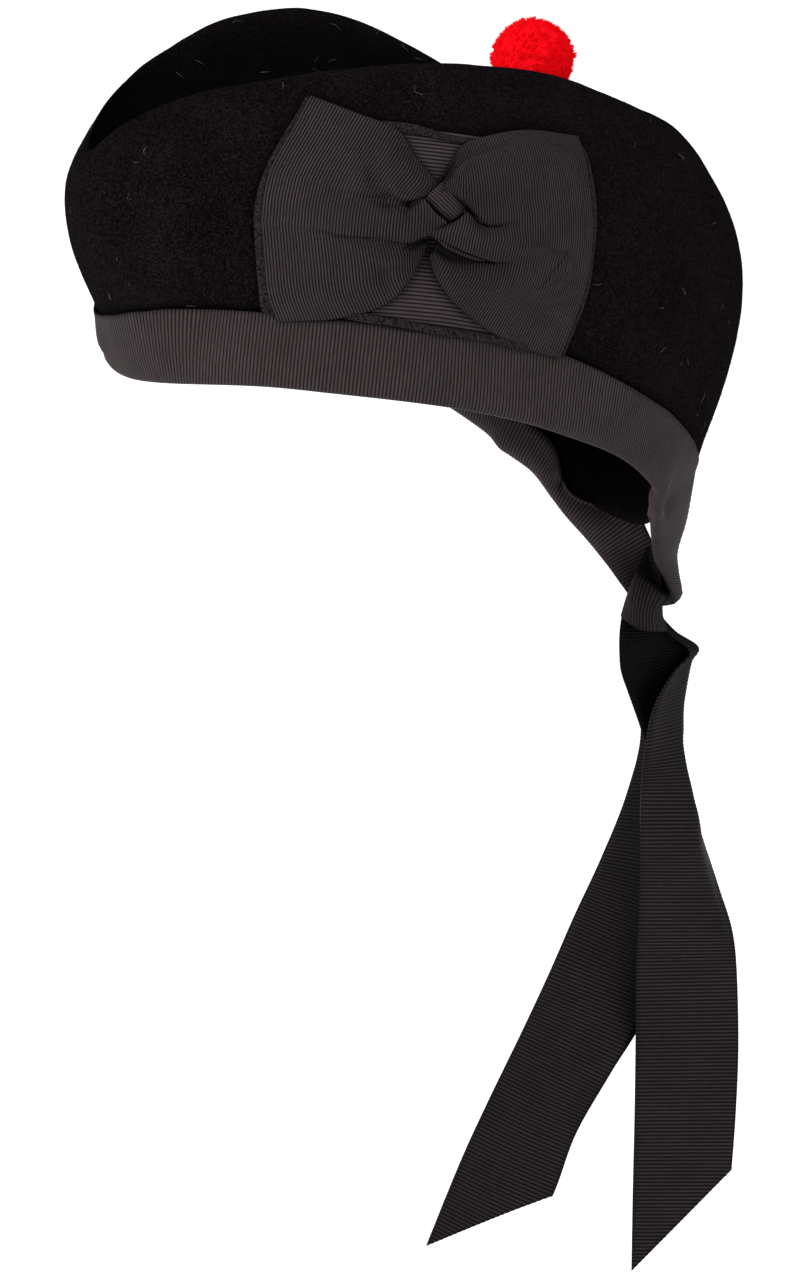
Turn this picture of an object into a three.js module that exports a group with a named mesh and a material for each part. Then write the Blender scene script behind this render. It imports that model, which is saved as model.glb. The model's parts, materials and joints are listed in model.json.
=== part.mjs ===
// Glengarry: a black felt cap with a dented top, a grosgrain band bound over its rim, a ribbon
// cockade sewn to its left side, a red toorie on top and two ribbon tails tied behind.
// Millimetres, +Z up. The wearer faces -Y and the wearer's left is +X. The origin is the middle
// of the head opening. Every ribbon is one stock, 36 mm wide. The band is the same ribbon folded
// lengthways over the rim.

import * as THREE from "three";
import { mergeVertices } from "three/addons/utils/BufferGeometryUtils.js";

// ---------------------------------------------------------------- driving dimensions

const FELT_THICKNESS = 3;
const RIBBON_THICKNESS = 1;
const RIBBON_ACROSS = 6;            // faces across a hanging ribbon
const GAP = 0.3;                    // left between pieces that touch
const HEM_LEVEL = 0.08;             // the felt stops this share of the band's height above its fold
const BAND_INSIDE = 0.45;           // share of the band's height that is turned up inside
const BAND_END_ANGLE = 76;          // degrees; the band ends here on both sides of the back
const BAND_STEPS = 52;
const TOORIE = { x: 0, y: 51, z: 124, radius: 14, tuckedUnder: 13, facesRound: 20, facesDown: 14 };
const KNOT = { x: 3, y: 93.5, z: -65, halfX: 10.5, halfY: 8.2, halfZ: 11.6, leanBack: -1.5 };

// The felt is a stack of rings. Each ring is a boat-shaped loop: half its width at the sides,
// its reach to the front and back, how pointed its ends are, and its height at five stations
// from the front round the left side to the back. share is how much of the right side's own
// dip and rise the ring takes.
const CROWN_RINGS = [
  { name: "rim",       half: 80.5, front: 98,    back: 99,    point: 1,    share: 0,
    height: [33.5, 37, 23.5, -17.5, -40] },
  { name: "band top",  half: 81.5, front: 108,   back: 107,   point: 1,    share: 0,
    height: [57, 62, 46.5, 6.5, -17] },
  { name: "belly",     half: 85,   front: 116.5, back: 125.5, point: 1.15, share: 0.25,
    height: [72, 84, 76, 42, 20] },
  { name: "shoulder",  half: 76.5, front: 119,   back: 127.5, point: 1.1,  share: 0.6,
    height: [86.5, 105, 106, 79.5, 48] },
  { name: "crest out", half: 60.5, front: 119.5, back: 123.5, point: 1.6,  share: 0.85,
    height: [95, 120, 128, 100.5, 67.5] },
  { name: "crest",     half: 52,   front: 115.5, back: 117,   point: 1.6,  share: 1,
    height: [99, 126.5, 135, 107, 78] },
  { name: "crest in",  half: 43.5, front: 112.5, back: 110,   point: 1.3,  share: 1,
    height: [100, 124, 131, 108, 80] },
  { name: "slope",     half: 24,   front: 106,   back: 98,    point: 1.15, share: 0.7,
    height: [94, 110, 118, 106, 79] },
  { name: "valley",    half: 0,    front: 98,    back: 88,    point: 1,    share: 0,
    height: [90, 105, 114, 105, 77] },
];
const STATION_STEP = 45;                       // degrees between the five stations
const RIGHT_SIDE_CHANGE = [0, 3, 2, -15, 0];   // the right ridge falls away behind its top

// Levels at which the felt has a row of corners: 0 is the rim, 8 the floor of the valley.
const CROWN_LEVELS = [HEM_LEVEL, 0.55, 1, 1.5, 2, 2.5, 3, 3.5, 4, 4.4, 4.8, 5.15, 5.5, 6, 6.6, 7.2, 8];
const CROWN_STEPS = 60;
const CREST_LEVEL = 5;                         // the highest level of the felt's sides
const HALVINGS = 40;                           // finds a place on the felt to far under 0.01 mm
const SLOPE_STEP = 0.02;                       // radians or levels that a slope is taken over

// The cockade, flat on the left side: y along the cap, z up, lift off the felt.
// The patch lies under the bow. Each wing is a fan of folds from the gathered middle outwards.
const PATCH_ROWS = [
  [{ y: -50, z: 118.5, lift: 0.9 }, { y: -26, z: 117, lift: 0.9 }, { y: -2, z: 113.5, lift: 0.9 }],
  [{ y: -54, z: 95, lift: 0.9 },    { y: -28, z: 92, lift: 0.9 },  { y: -3, z: 88, lift: 0.9 }],
  [{ y: -57, z: 75, lift: 0.9 },    { y: -30, z: 71, lift: 0.9 },  { y: -4, z: 67, lift: 0.9 }],
  [{ y: -59, z: 61.5, lift: 2.2 },  { y: -32, z: 55, lift: 2.2 },  { y: -5, z: 48, lift: 2.2 }],
];
const FRONT_WING_ROWS = [
  [{ y: -31.5, z: 100.5, lift: 2.3 }, { y: -34.5, z: 108.6, lift: 3 }, { y: -38, z: 118.5, lift: 2.4 },
    { y: -60, z: 128.5, lift: 1.2 }],
  [{ y: -32, z: 98.5, lift: 2.3 },    { y: -41, z: 107, lift: 5 },     { y: -52, z: 114, lift: 3.4 },
    { y: -73, z: 118, lift: 1.2 }],
  [{ y: -33, z: 96, lift: 2.3 },      { y: -44, z: 99, lift: 6 },      { y: -58, z: 102, lift: 4 },
    { y: -81, z: 101, lift: 1.2 }],
  [{ y: -34, z: 92, lift: 2.3 },      { y: -46, z: 91, lift: 6 },      { y: -60, z: 90, lift: 4 },
    { y: -83.5, z: 86, lift: 1.2 }],
  [{ y: -35, z: 88, lift: 2.3 },      { y: -45, z: 82, lift: 5 },      { y: -60, z: 76, lift: 3.4 },
    { y: -82, z: 71, lift: 1.2 }],
  [{ y: -36, z: 84, lift: 2.3 },      { y: -43, z: 70, lift: 3 },      { y: -58, z: 63, lift: 3.4 },
    { y: -74.5, z: 58.5, lift: 2.6 }],
];
const REAR_WING_ROWS = [
  [{ y: -28.5, z: 101, lift: 2.3 },   { y: -17, z: 111.5, lift: 3 },   { y: 5, z: 115.2, lift: 2.4 },
    { y: 26.4, z: 111, lift: 1.2 }],
  [{ y: -28, z: 98.5, lift: 2.3 },    { y: -15, z: 103, lift: 5 },     { y: 5, z: 105, lift: 3.4 },
    { y: 25.5, z: 100, lift: 1.2 }],
  [{ y: -27.5, z: 95, lift: 2.3 },    { y: -14, z: 95, lift: 6 },      { y: 5, z: 93, lift: 4 },
    { y: 25.4, z: 87, lift: 1.2 }],
  [{ y: -28, z: 91, lift: 2.3 },      { y: -14, z: 86, lift: 6 },      { y: 4, z: 81, lift: 4 },
    { y: 24.5, z: 75, lift: 1.2 }],
  [{ y: -29.5, z: 87, lift: 2.3 },    { y: -18, z: 75, lift: 5 },      { y: 1, z: 67, lift: 3.4 },
    { y: 20, z: 61, lift: 1.2 }],
  [{ y: -32, z: 82.5, lift: 2.3 },    { y: -26, z: 63.5, lift: 3 },    { y: -9, z: 50.5, lift: 3.6 },
    { y: 11.7, z: 43.5, lift: 2.6 }],
];
const TWIST = { y: -30.7, z: 93, lift: 5.6, halfAlong: 8.5, halfUp: 10, halfOut: 2 };

// Ribbons that hang. Each row crosses the ribbon at three places: its near edge, its fold and
// its far edge, in the order that the ribbon leaves the band or the knot.
const LEFT_TIE_ROWS = [
  { near: [18.1, 98, -37],     fold: [18.2, 102.8, -25.5], far: [17.4, 106.4, -13] },
  { near: [20.2, 93.4, -42],   fold: [17.6, 102.4, -31],   far: [13.4, 107.6, -20] },
  { near: [20.4, 90.6, -46],   fold: [18, 99.5, -38],      far: [9.4, 107.3, -32] },
  { near: [19.8, 89.8, -51],   fold: [17, 98.5, -47],      far: [8.2, 105, -44] },
  { near: [19.2, 90.2, -56],   fold: [16.6, 98, -54.5],    far: [8, 104, -54] },
  { near: [18.4, 91, -61],     fold: [16.2, 98.6, -62],    far: [8, 104.8, -62.5] },
  { near: [16.6, 92.8, -66],   fold: [14.6, 98.4, -67.6],  far: [7, 103.4, -68.6] },
];
const RIGHT_TIE_ROWS = [
  { near: [-18.1, 98, -37],     fold: [-18.2, 102.8, -25.5], far: [-17.4, 106.4, -13] },
  { near: [-19.6, 93.8, -42],   fold: [-17, 102.2, -31],    far: [-12.6, 107.4, -20] },
  { near: [-18.5, 92, -47],     fold: [-16, 99.5, -40],     far: [-8, 106, -34] },
  { near: [-15.5, 91, -53],     fold: [-13, 98, -50],       far: [-4.5, 103.2, -47] },
  { near: [-12.5, 90.5, -59],   fold: [-10.5, 97, -58.5],   far: [-3, 104, -58] },
];
const RIGHT_TAIL_ROWS = [
  { near: [11, 99, -77.6],     fold: [9, 101.6, -77.4],    far: [6, 84.4, -77.6] },
  { near: [11.5, 102.5, -81],  fold: [8, 107, -82],        far: [5, 84, -81.5] },
  { near: [13, 106.1, -86],    fold: [8, 111.3, -86.6],    far: [5, 84.5, -87] },
  { near: [14, 100.8, -90.4],  fold: [8, 110, -91],        far: [5, 86, -91.5] },
  { near: [14, 95.6, -96.4],   fold: [8, 108.4, -97],      far: [4.5, 88.3, -97] },
  { near: [14, 91.5, -107],    fold: [8, 107.7, -107],     far: [4, 92.7, -107] },
  { near: [13, 90, -115],      fold: [8, 107.9, -116],     far: [3.4, 97, -115] },
  { near: [10, 90.3, -134],    fold: [9, 109.4, -134],     far: [3.5, 103, -134] },
  { near: [7, 92, -155],       fold: [13, 114, -155],      far: [8.5, 112, -155] },
  { near: [4, 93.7, -170],     fold: [14.5, 118.6, -170],  far: [13.5, 120, -170] },
  { near: [0.5, 95, -200],     fold: [12.5, 119.8, -200],  far: [16, 126.8, -200] },
  { near: [0, 95.4, -228],     fold: [13, 120.6, -228],    far: [16.6, 127.6, -228] },
  { near: [-0.5, 95.6, -254],  fold: [12.6, 119.8, -250],  far: [16.4, 126.6, -249] },
  { near: [-1, 95.5, -307],    fold: [12, 118.6, -290],    far: [16, 125.2, -284.4] },
];
const LEFT_TAIL_ROWS = [
  { near: [-3, 86, -77.6],     fold: [-11, 96, -77.6],     far: [-2, 104, -77.6] },
  { near: [-3, 92, -96],       fold: [-13, 101, -96],      far: [-3, 108.5, -96] },
  { near: [-3, 97.8, -116],    fold: [-13, 105, -116],     far: [-4, 110, -116] },
  { near: [-5, 94, -138],      fold: [-13, 104, -138],     far: [-4.5, 111, -138] },
  { near: [-8, 86, -159],      fold: [-13, 101, -163],     far: [-4.5, 112, -166] },
  { near: [-10, 76.4, -180],   fold: [-11, 92, -187],      far: [-5, 107, -191] },
  { near: [-11, 66.3, -200],   fold: [-9, 82, -207.5],     far: [-5.5, 97.5, -214] },
  { near: [-10.8, 55.1, -220], fold: [-8, 70.6, -228.5],   far: [-4.7, 86.1, -237] },
  { near: [-8, 41.5, -239],    fold: [-4.5, 55.5, -248.5], far: [0, 70.2, -257] },
  { near: [-3, 27.1, -257.5],  fold: [0, 41.5, -263],      far: [4, 63.5, -268] },
  { near: [4, 8, -285],        fold: [5, 33.5, -279.5],    far: [6, 58.4, -275.3] },
];

// ---------------------------------------------------------------- finishes

const felt = () => new THREE.MeshStandardMaterial({ color: 0x17161a, roughness: 0.95, metalness: 0 });
const grosgrain = () => new THREE.MeshStandardMaterial({ color: 0x2a2523, roughness: 0.7, metalness: 0 });
const redWool = () => new THREE.MeshStandardMaterial({ color: 0xd3121a, roughness: 0.9, metalness: 0 });

// ---------------------------------------------------------------- the crown's form

// Catmull-Rom between b and c, a share f of the way.
function through(a, b, c, d, f) {
  return 0.5 * (2 * b + (c - a) * f + (2 * a - 5 * b + 4 * c - d) * f * f
    + (3 * b - a - 3 * c + d) * f * f * f);
}

// Height of a ring at an angle, through its five stations, level where it crosses the middle.
function ringHeight(ring, angle) {
  const change = Math.cos(angle) < 0 ? ring.share : 0;
  const heights = ring.height.map((height, station) => height + change * RIGHT_SIDE_CHANGE[station]);
  const fromFront = THREE.MathUtils.radToDeg(Math.asin(Math.sin(angle))) + 90;
  const station = Math.min(Math.floor(fromFront / STATION_STEP), heights.length - 2);
  const before = station === 0 ? heights[1] : heights[station - 1];
  const after = station === heights.length - 2 ? heights[station] : heights[station + 2];
  return through(before, heights[station], heights[station + 1], after,
    fromFront / STATION_STEP - station);
}

// A point of a ring. Angle 0 is the left side, 90 degrees the back, -90 the front.
function ringPoint(ring, angle) {
  const side = Math.cos(angle);
  const along = Math.sin(angle);
  return new THREE.Vector3(
    ring.half * Math.sign(side) * Math.abs(side) ** ring.point,
    along < 0 ? ring.front * along : ring.back * along,
    ringHeight(ring, angle));
}

// A point of the felt's outer face, smooth through the rings.
function crownPoint(angle, level) {
  const last = CROWN_RINGS.length - 1;
  const lower = Math.min(Math.max(Math.floor(level), 0), last - 1);
  const at = (index) => ringPoint(CROWN_RINGS[Math.min(Math.max(index, 0), last)], angle);
  const [a, b, c, d] = [at(lower - 1), at(lower), at(lower + 1), at(lower + 2)];
  if (lower === 0) a.copy(b).multiplyScalar(2).sub(c);
  if (lower === last - 1) d.copy(c).multiplyScalar(2).sub(b);
  const f = level - lower;
  return new THREE.Vector3(
    through(a.x, b.x, c.x, d.x, f), through(a.y, b.y, c.y, d.y, f), through(a.z, b.z, c.z, d.z, f));
}

// The way out of the felt at a place on it.
function crownNormal(angle, level) {
  const around = crownPoint(angle + SLOPE_STEP, level).sub(crownPoint(angle - SLOPE_STEP, level));
  const up = crownPoint(angle, level + SLOPE_STEP).sub(crownPoint(angle, level - SLOPE_STEP));
  return around.cross(up).normalize();
}

// The place on the felt's left side that is y along and z up, found by halving.
function leftSide(y, z, lift) {
  let low = 0;
  let high = CREST_LEVEL;
  const end = y < 0 ? "front" : "back";
  const angleAt = (level) => {
    const lower = Math.min(Math.floor(level), CREST_LEVEL - 1);
    const [below, above] = [CROWN_RINGS[lower][end], CROWN_RINGS[lower + 1][end]];
    return Math.asin(y / THREE.MathUtils.lerp(below, above, level - lower));
  };
  for (let halving = 0; halving < HALVINGS; halving += 1) {
    const middle = (low + high) / 2;
    if (crownPoint(angleAt(middle), middle).z < z) low = middle;
    else high = middle;
  }
  const angle = angleAt(low);
  return crownPoint(angle, low).addScaledVector(crownNormal(angle, low), lift);
}

// ---------------------------------------------------------------- sheets and walls

// A surface through a grid of points, rows of equal length. A closed grid joins its columns.
function gridSurface(grid, closed = false) {
  const columns = grid[0].length;
  const index = [];
  for (let row = 0; row + 1 < grid.length; row += 1) {
    for (let column = 0; column + (closed ? 0 : 1) < columns; column += 1) {
      const next = (column + 1) % columns;
      const [a, b] = [row * columns + column, row * columns + next];
      const [c, d] = [a + columns, b + columns];
      index.push(a, b, d, a, d, c);
    }
  }
  const surface = new THREE.BufferGeometry().setFromPoints(grid.flat());
  surface.setIndex(index);
  return mergeVertices(surface, 1e-3);
}

// A closed wall from a surface: outside past it on its face, inside behind it.
function wall(surface, outside, inside) {
  surface.computeVertexNormals();
  const { position, normal } = surface.attributes;
  const corners = surface.index.array;
  const count = position.count;
  const place = (i, distance) => new THREE.Vector3().fromBufferAttribute(position, i)
    .addScaledVector(new THREE.Vector3().fromBufferAttribute(normal, i), distance);
  const points = [];
  for (let i = 0; i < count; i += 1) points.push(place(i, outside));
  for (let i = 0; i < count; i += 1) points.push(place(i, -inside));
  const index = [];
  const edges = new Set();
  for (let i = 0; i < corners.length; i += 3) {
    const [a, b, c] = [corners[i], corners[i + 1], corners[i + 2]];
    index.push(a, b, c, c + count, b + count, a + count);
    [[a, b], [b, c], [c, a]].forEach(([from, to]) => edges.add(`${from} ${to}`));
  }
  edges.forEach((edge) => {
    const [from, to] = edge.split(" ").map(Number);
    if (!edges.has(`${to} ${from}`)) index.push(to, from, from + count, to, from + count, to + count);
  });
  const solid = new THREE.BufferGeometry().setFromPoints(points);
  solid.setIndex(index);
  return solid;
}

// A smooth grid through rows of places: evenly spaced across, then along.
function smoothGrid(rows, across, along) {
  const crossings = rows.map((row) => new THREE.CatmullRomCurve3(row).getSpacedPoints(across));
  const lines = crossings[0].map((_, column) => new THREE.CatmullRomCurve3(
    crossings.map((crossing) => crossing[column])).getPoints(along));
  return lines[0].map((_, row) => lines.map((line) => line[row]));
}

const ribbon = (grid) => wall(gridSurface(grid), RIBBON_THICKNESS / 2, RIBBON_THICKNESS / 2);

// A ribbon that hangs, through its rows of places.
function hungRibbon(rows, along) {
  const places = rows.map(({ near, fold, far }) => [near, fold, far].map(
    (place) => new THREE.Vector3(...place)));
  return ribbon(smoothGrid(places, RIBBON_ACROSS, along));
}

// A ribbon sewn on the left side: smooth in y, z and lift first, and then laid on the felt.
function sewnRibbon(rows, across, along) {
  const places = rows.map((row) => row.map(({ y, z, lift }) => new THREE.Vector3(lift, y, z)));
  return ribbon(smoothGrid(places, across, along).map(
    (line) => line.map(({ x: lift, y, z }) => leftSide(y, z, lift))));
}

// ---------------------------------------------------------------- pieces

// The felt: one wall from the hem up over the ridges to the floor of the valley.
function crownShape() {
  const angles = Array.from({ length: CROWN_STEPS },
    (_, step) => -Math.PI / 2 + (step * 2 * Math.PI) / CROWN_STEPS);
  const grid = CROWN_LEVELS.map((level) => angles.map((angle) => crownPoint(angle, level)));
  return wall(gridSurface(grid, true), 0, FELT_THICKNESS);
}

// The band: ribbon folded over the rim, from its top edge outside to its edge inside.
function bandShape() {
  const outside = GAP + RIBBON_THICKNESS / 2;
  const inside = -(FELT_THICKNESS + GAP + RIBBON_THICKNESS / 2);
  const profile = [
    { level: 1, out: outside },
    { level: 0.66, out: outside },
    { level: 0.33, out: outside },
    { level: 0.04, out: outside },
    { level: -0.015, out: (outside + inside) / 2 },
    { level: 0.04, out: inside },
    { level: BAND_INSIDE, out: inside },
  ];
  const open = THREE.MathUtils.degToRad(90 - BAND_END_ANGLE);
  const start = Math.PI / 2 + open;
  const turn = 2 * Math.PI - 2 * open;
  const grid = profile.map(({ level, out }) => Array.from({ length: BAND_STEPS + 1 }, (_, step) => {
    const angle = start + (turn * step) / BAND_STEPS;
    return crownPoint(angle, level).addScaledVector(crownNormal(angle, Math.max(level, 0)), out);
  }));
  return wall(gridSurface([...grid].reverse()), RIBBON_THICKNESS / 2, RIBBON_THICKNESS / 2);
}

// The toorie: a wool ball, pressed up a little where it sits in the valley.
function toorieShape() {
  const ball = new THREE.SphereGeometry(TOORIE.radius, TOORIE.facesRound, TOORIE.facesDown);
  ball.rotateX(Math.PI / 2);
  ball.scale(1, 1, TOORIE.tuckedUnder / TOORIE.radius);
  return ball.translate(TOORIE.x, TOORIE.y, TOORIE.z + TOORIE.radius - TOORIE.tuckedUnder);
}

// The middle of the cockade, where the two folded ribbons pass through each other.
function twistShape() {
  const middle = leftSide(TWIST.y, TWIST.z, TWIST.lift);
  const out = leftSide(TWIST.y, TWIST.z, TWIST.lift + 1).sub(middle).normalize();
  const along = new THREE.Vector3(0, 1, 0).addScaledVector(out, -out.y).normalize();
  const up = new THREE.Vector3().crossVectors(out, along);
  const pad = new THREE.SphereGeometry(1, 16, 8);
  pad.scale(TWIST.halfAlong, TWIST.halfUp, TWIST.halfOut);
  return pad.applyMatrix4(new THREE.Matrix4().makeBasis(along, up, out).setPosition(middle));
}

// The knot of the tie: a wad of wound ribbon, leaning back towards its top.
function knotShape() {
  const profile = [[0, -1], [0.75, -1], [0.94, -0.85], [1, -0.4], [1, 0.3], [0.86, 0.8], [0.6, 1], [0, 1]];
  const wad = new THREE.LatheGeometry(profile.map(([out, up]) => new THREE.Vector2(out, up)), 18);
  wad.rotateX(Math.PI / 2);
  const lean = new THREE.Matrix4().set(
    KNOT.halfX, 0, 0, KNOT.x,
    0, KNOT.halfY, KNOT.leanBack, KNOT.y,
    0, 0, KNOT.halfZ, KNOT.z,
    0, 0, 0, 1);
  return wad.applyMatrix4(lean);
}

const PIECES = [
  { name: "crown", shape: crownShape(), finish: felt() },
  { name: "band", shape: bandShape(), finish: grosgrain() },
  { name: "toorie", shape: toorieShape(), finish: redWool() },
  { name: "cockade_patch", shape: sewnRibbon(PATCH_ROWS, 8, 9), finish: grosgrain() },
  { name: "cockade_front_wing", shape: sewnRibbon(FRONT_WING_ROWS, 8, 10), finish: grosgrain() },
  { name: "cockade_rear_wing", shape: sewnRibbon(REAR_WING_ROWS, 8, 10), finish: grosgrain() },
  { name: "cockade_twist", shape: twistShape(), finish: grosgrain() },
  { name: "tie_left", shape: hungRibbon(LEFT_TIE_ROWS, 14), finish: grosgrain() },
  { name: "tie_right", shape: hungRibbon(RIGHT_TIE_ROWS, 12), finish: grosgrain() },
  { name: "tie_knot", shape: knotShape(), finish: grosgrain() },
  { name: "tail_right", shape: hungRibbon(RIGHT_TAIL_ROWS, 30), finish: grosgrain() },
  { name: "tail_left", shape: hungRibbon(LEFT_TAIL_ROWS, 24), finish: grosgrain() },
];

const glengarry = new THREE.Group();
PIECES.forEach(({ name, shape, finish }) => {
  const piece = new THREE.Mesh(shape, finish);
  piece.name = name;
  glengarry.add(piece);
});

export default glengarry;
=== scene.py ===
import json
import math

import bpy
import numpy as np
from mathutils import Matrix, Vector
from mathutils.bvhtree import BVHTree


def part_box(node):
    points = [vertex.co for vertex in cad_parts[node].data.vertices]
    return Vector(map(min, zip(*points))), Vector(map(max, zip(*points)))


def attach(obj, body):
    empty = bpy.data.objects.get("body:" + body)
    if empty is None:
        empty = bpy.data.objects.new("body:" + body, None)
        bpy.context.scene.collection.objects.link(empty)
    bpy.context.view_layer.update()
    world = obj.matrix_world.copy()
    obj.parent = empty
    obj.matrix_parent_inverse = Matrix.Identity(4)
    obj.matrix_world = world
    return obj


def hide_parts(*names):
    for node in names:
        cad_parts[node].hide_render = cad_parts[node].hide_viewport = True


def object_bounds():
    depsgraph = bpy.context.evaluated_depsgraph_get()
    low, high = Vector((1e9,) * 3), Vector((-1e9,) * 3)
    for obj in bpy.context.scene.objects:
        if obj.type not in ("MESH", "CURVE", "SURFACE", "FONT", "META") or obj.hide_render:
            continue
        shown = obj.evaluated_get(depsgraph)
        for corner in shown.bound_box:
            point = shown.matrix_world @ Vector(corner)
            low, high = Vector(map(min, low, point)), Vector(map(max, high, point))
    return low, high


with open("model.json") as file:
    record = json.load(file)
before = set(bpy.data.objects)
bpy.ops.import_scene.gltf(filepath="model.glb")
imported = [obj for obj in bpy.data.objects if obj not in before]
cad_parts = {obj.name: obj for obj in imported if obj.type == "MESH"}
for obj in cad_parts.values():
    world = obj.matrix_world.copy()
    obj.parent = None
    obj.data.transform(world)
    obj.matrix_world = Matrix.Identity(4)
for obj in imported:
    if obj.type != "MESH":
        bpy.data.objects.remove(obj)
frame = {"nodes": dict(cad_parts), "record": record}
cad_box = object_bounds()


# ---------------------------------------------------------------- camera
# A long lens from the wearer's left front, a little above the head opening, upright and unshifted,
# so that the cap is seen nearly without perspective.
MM = 0.001
head_mount = Vector(frame["record"]["mounts"][0]["pos_m"])
view_azimuth = math.radians(60.3)
view_elevation = math.radians(14.8)
view_distance = 2.0
aim_right = 0.13 * MM
aim_down = 65.47 * MM
view_back = Vector((math.sin(view_azimuth) * math.cos(view_elevation),
                    -math.cos(view_azimuth) * math.cos(view_elevation),
                    math.sin(view_elevation)))
view_right = Vector((math.cos(view_azimuth), math.sin(view_azimuth), 0))
view_up = view_back.cross(view_right)
aim = head_mount + view_right * aim_right - view_up * aim_down
bpy.ops.object.select_all(action="DESELECT")
bpy.ops.object.camera_add(location=aim + view_back * view_distance)
camera = bpy.context.object
camera.name = "camera"
camera.rotation_euler = view_back.to_track_quat("Z", "Y").to_euler()
camera.data.sensor_width = 36
camera.data.lens = 168.75
bpy.context.scene.camera = camera


# ---------------------------------------------------------------- studio
# A plain pale floor under the hanging tails, a faint white surround and three broad soft suns: the
# main one low at the wearer's front, one at the left back and one overhead.
def new_finish(name, roughness, shine):
    """A new material of a roughness and a shine, with its node tree and its shader."""
    finish = bpy.data.materials.new(name)
    finish.use_nodes = True
    shader = finish.node_tree.nodes["Principled BSDF"]
    shader.inputs["Roughness"].default_value = roughness
    shader.inputs["Specular IOR Level"].default_value = shine
    return finish, finish.node_tree, shader


under_tails = 80 * MM
floor_level = cad_box[0][2] - under_tails
bpy.ops.mesh.primitive_plane_add(size=14, location=(0, 0, floor_level))
floor = bpy.context.object
floor.name = "floor"
floor_paint, _, floor_shader = new_finish("floor_paint", 0.9, 0.1)
floor_shader.inputs["Base Color"].default_value = (0.93, 0.93, 0.93, 1)
floor_shader.inputs["Emission Color"].default_value = (1, 1, 1, 1)
floor_shader.inputs["Emission Strength"].default_value = 0.3
floor.data.materials.append(floor_paint)


def soft_sun(name, direction, strength):
    """A broad sun that shines from a direction and throws only soft shadows."""
    bpy.ops.object.light_add(type="SUN", location=head_mount + Vector(direction))
    sun = bpy.context.object
    sun.name = name
    sun.rotation_euler = Vector(direction).to_track_quat("Z", "Y").to_euler()
    sun.data.angle = math.radians(40)
    sun.data.energy = strength


soft_sun("front_sun", (0.35, -1.0, 0.4), 3.0)
soft_sun("back_sun", (0.9, 0.9, 0.6), 1.2)
soft_sun("top_sun", (-0.1, 0.1, 1.0), 1.3)
surround = bpy.data.worlds.new("surround")
surround.use_nodes = True
surround.node_tree.nodes["Background"].inputs["Color"].default_value = (1, 1, 1, 1)
surround.node_tree.nodes["Background"].inputs["Strength"].default_value = 0.15
bpy.context.scene.world = surround
bpy.context.scene.view_settings.view_transform = "Standard"


# ---------------------------------------------------------------- felt
# The cap's body is one piece of milled black wool felt about 3 mm thick, blocked to shape and
# pressed down the middle so that its two sides stand up as ridges. Its face is a short matted nap,
# and pale lint clings to it.
def add_node(tree, kind, inputs, **settings):
    """A shader node with its settings and inputs: a socket is linked and a value is set."""
    made = tree.nodes.new("ShaderNode" + kind)
    for key, value in settings.items():
        setattr(made, key, value)
    for key, value in inputs.items():
        if isinstance(value, bpy.types.NodeSocket):
            tree.links.new(value, made.inputs[key])
        else:
            made.inputs[key].default_value = value
    return made


def add_ramp(tree, factor, stops):
    """A colour ramp over a factor, from a list of places and colours."""
    ramp = add_node(tree, "ValToRGB", {"Fac": factor})
    while len(ramp.color_ramp.elements) < len(stops):
        ramp.color_ramp.elements.new(0.5)
    for element, (place, colour) in zip(ramp.color_ramp.elements, stops):
        element.position = place
        element.color = (*colour, 1)
    return ramp.outputs["Color"]


def own_place(tree):
    """The piece's own coordinates, on which a pattern stays in its place."""
    return tree.nodes.new("ShaderNodeTexCoord").outputs["Object"]


def add_math(tree, operation, *values):
    """What a Math node makes of its values, each a number or a socket."""
    return add_node(tree, "Math", dict(enumerate(values)), operation=operation).outputs[0]


def mixed(tree, parts, base=0.0):
    """The sum of sockets, each times its weight, on top of a base."""
    for socket, weight in parts:
        base = add_math(tree, "MULTIPLY_ADD", socket, weight, base)
    return base


def add_painted_shade(tree, near, fall, attribute):
    """Painted shade: the share of colour a place keeps, less within near of other cloth and by an attribute.
    """
    depth = add_node(tree, "AmbientOcclusion", {"Distance": near}, samples=8)
    lost = add_node(tree, "Attribute", {}, attribute_name=attribute)
    kept = add_math(tree, "SUBTRACT", 1.0, lost.outputs["Fac"])
    return add_math(tree, "MULTIPLY", add_math(tree, "POWER", depth.outputs["AO"], fall), kept)


def add_colour(tree, shader, colour, share):
    """Gives the shader a share of a colour."""
    colour = add_node(tree, "VectorMath", {0: colour, "Scale": share}, operation="SCALE")
    tree.links.new(colour.outputs["Vector"], shader.inputs["Base Color"])


def add_bump(tree, shader, height, strength, distance):
    """Gives the shader a fine relief."""
    bump = add_node(tree, "Bump", {"Height": height, "Strength": strength, "Distance": distance})
    tree.links.new(bump.outputs["Normal"], shader.inputs["Normal"])


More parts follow.
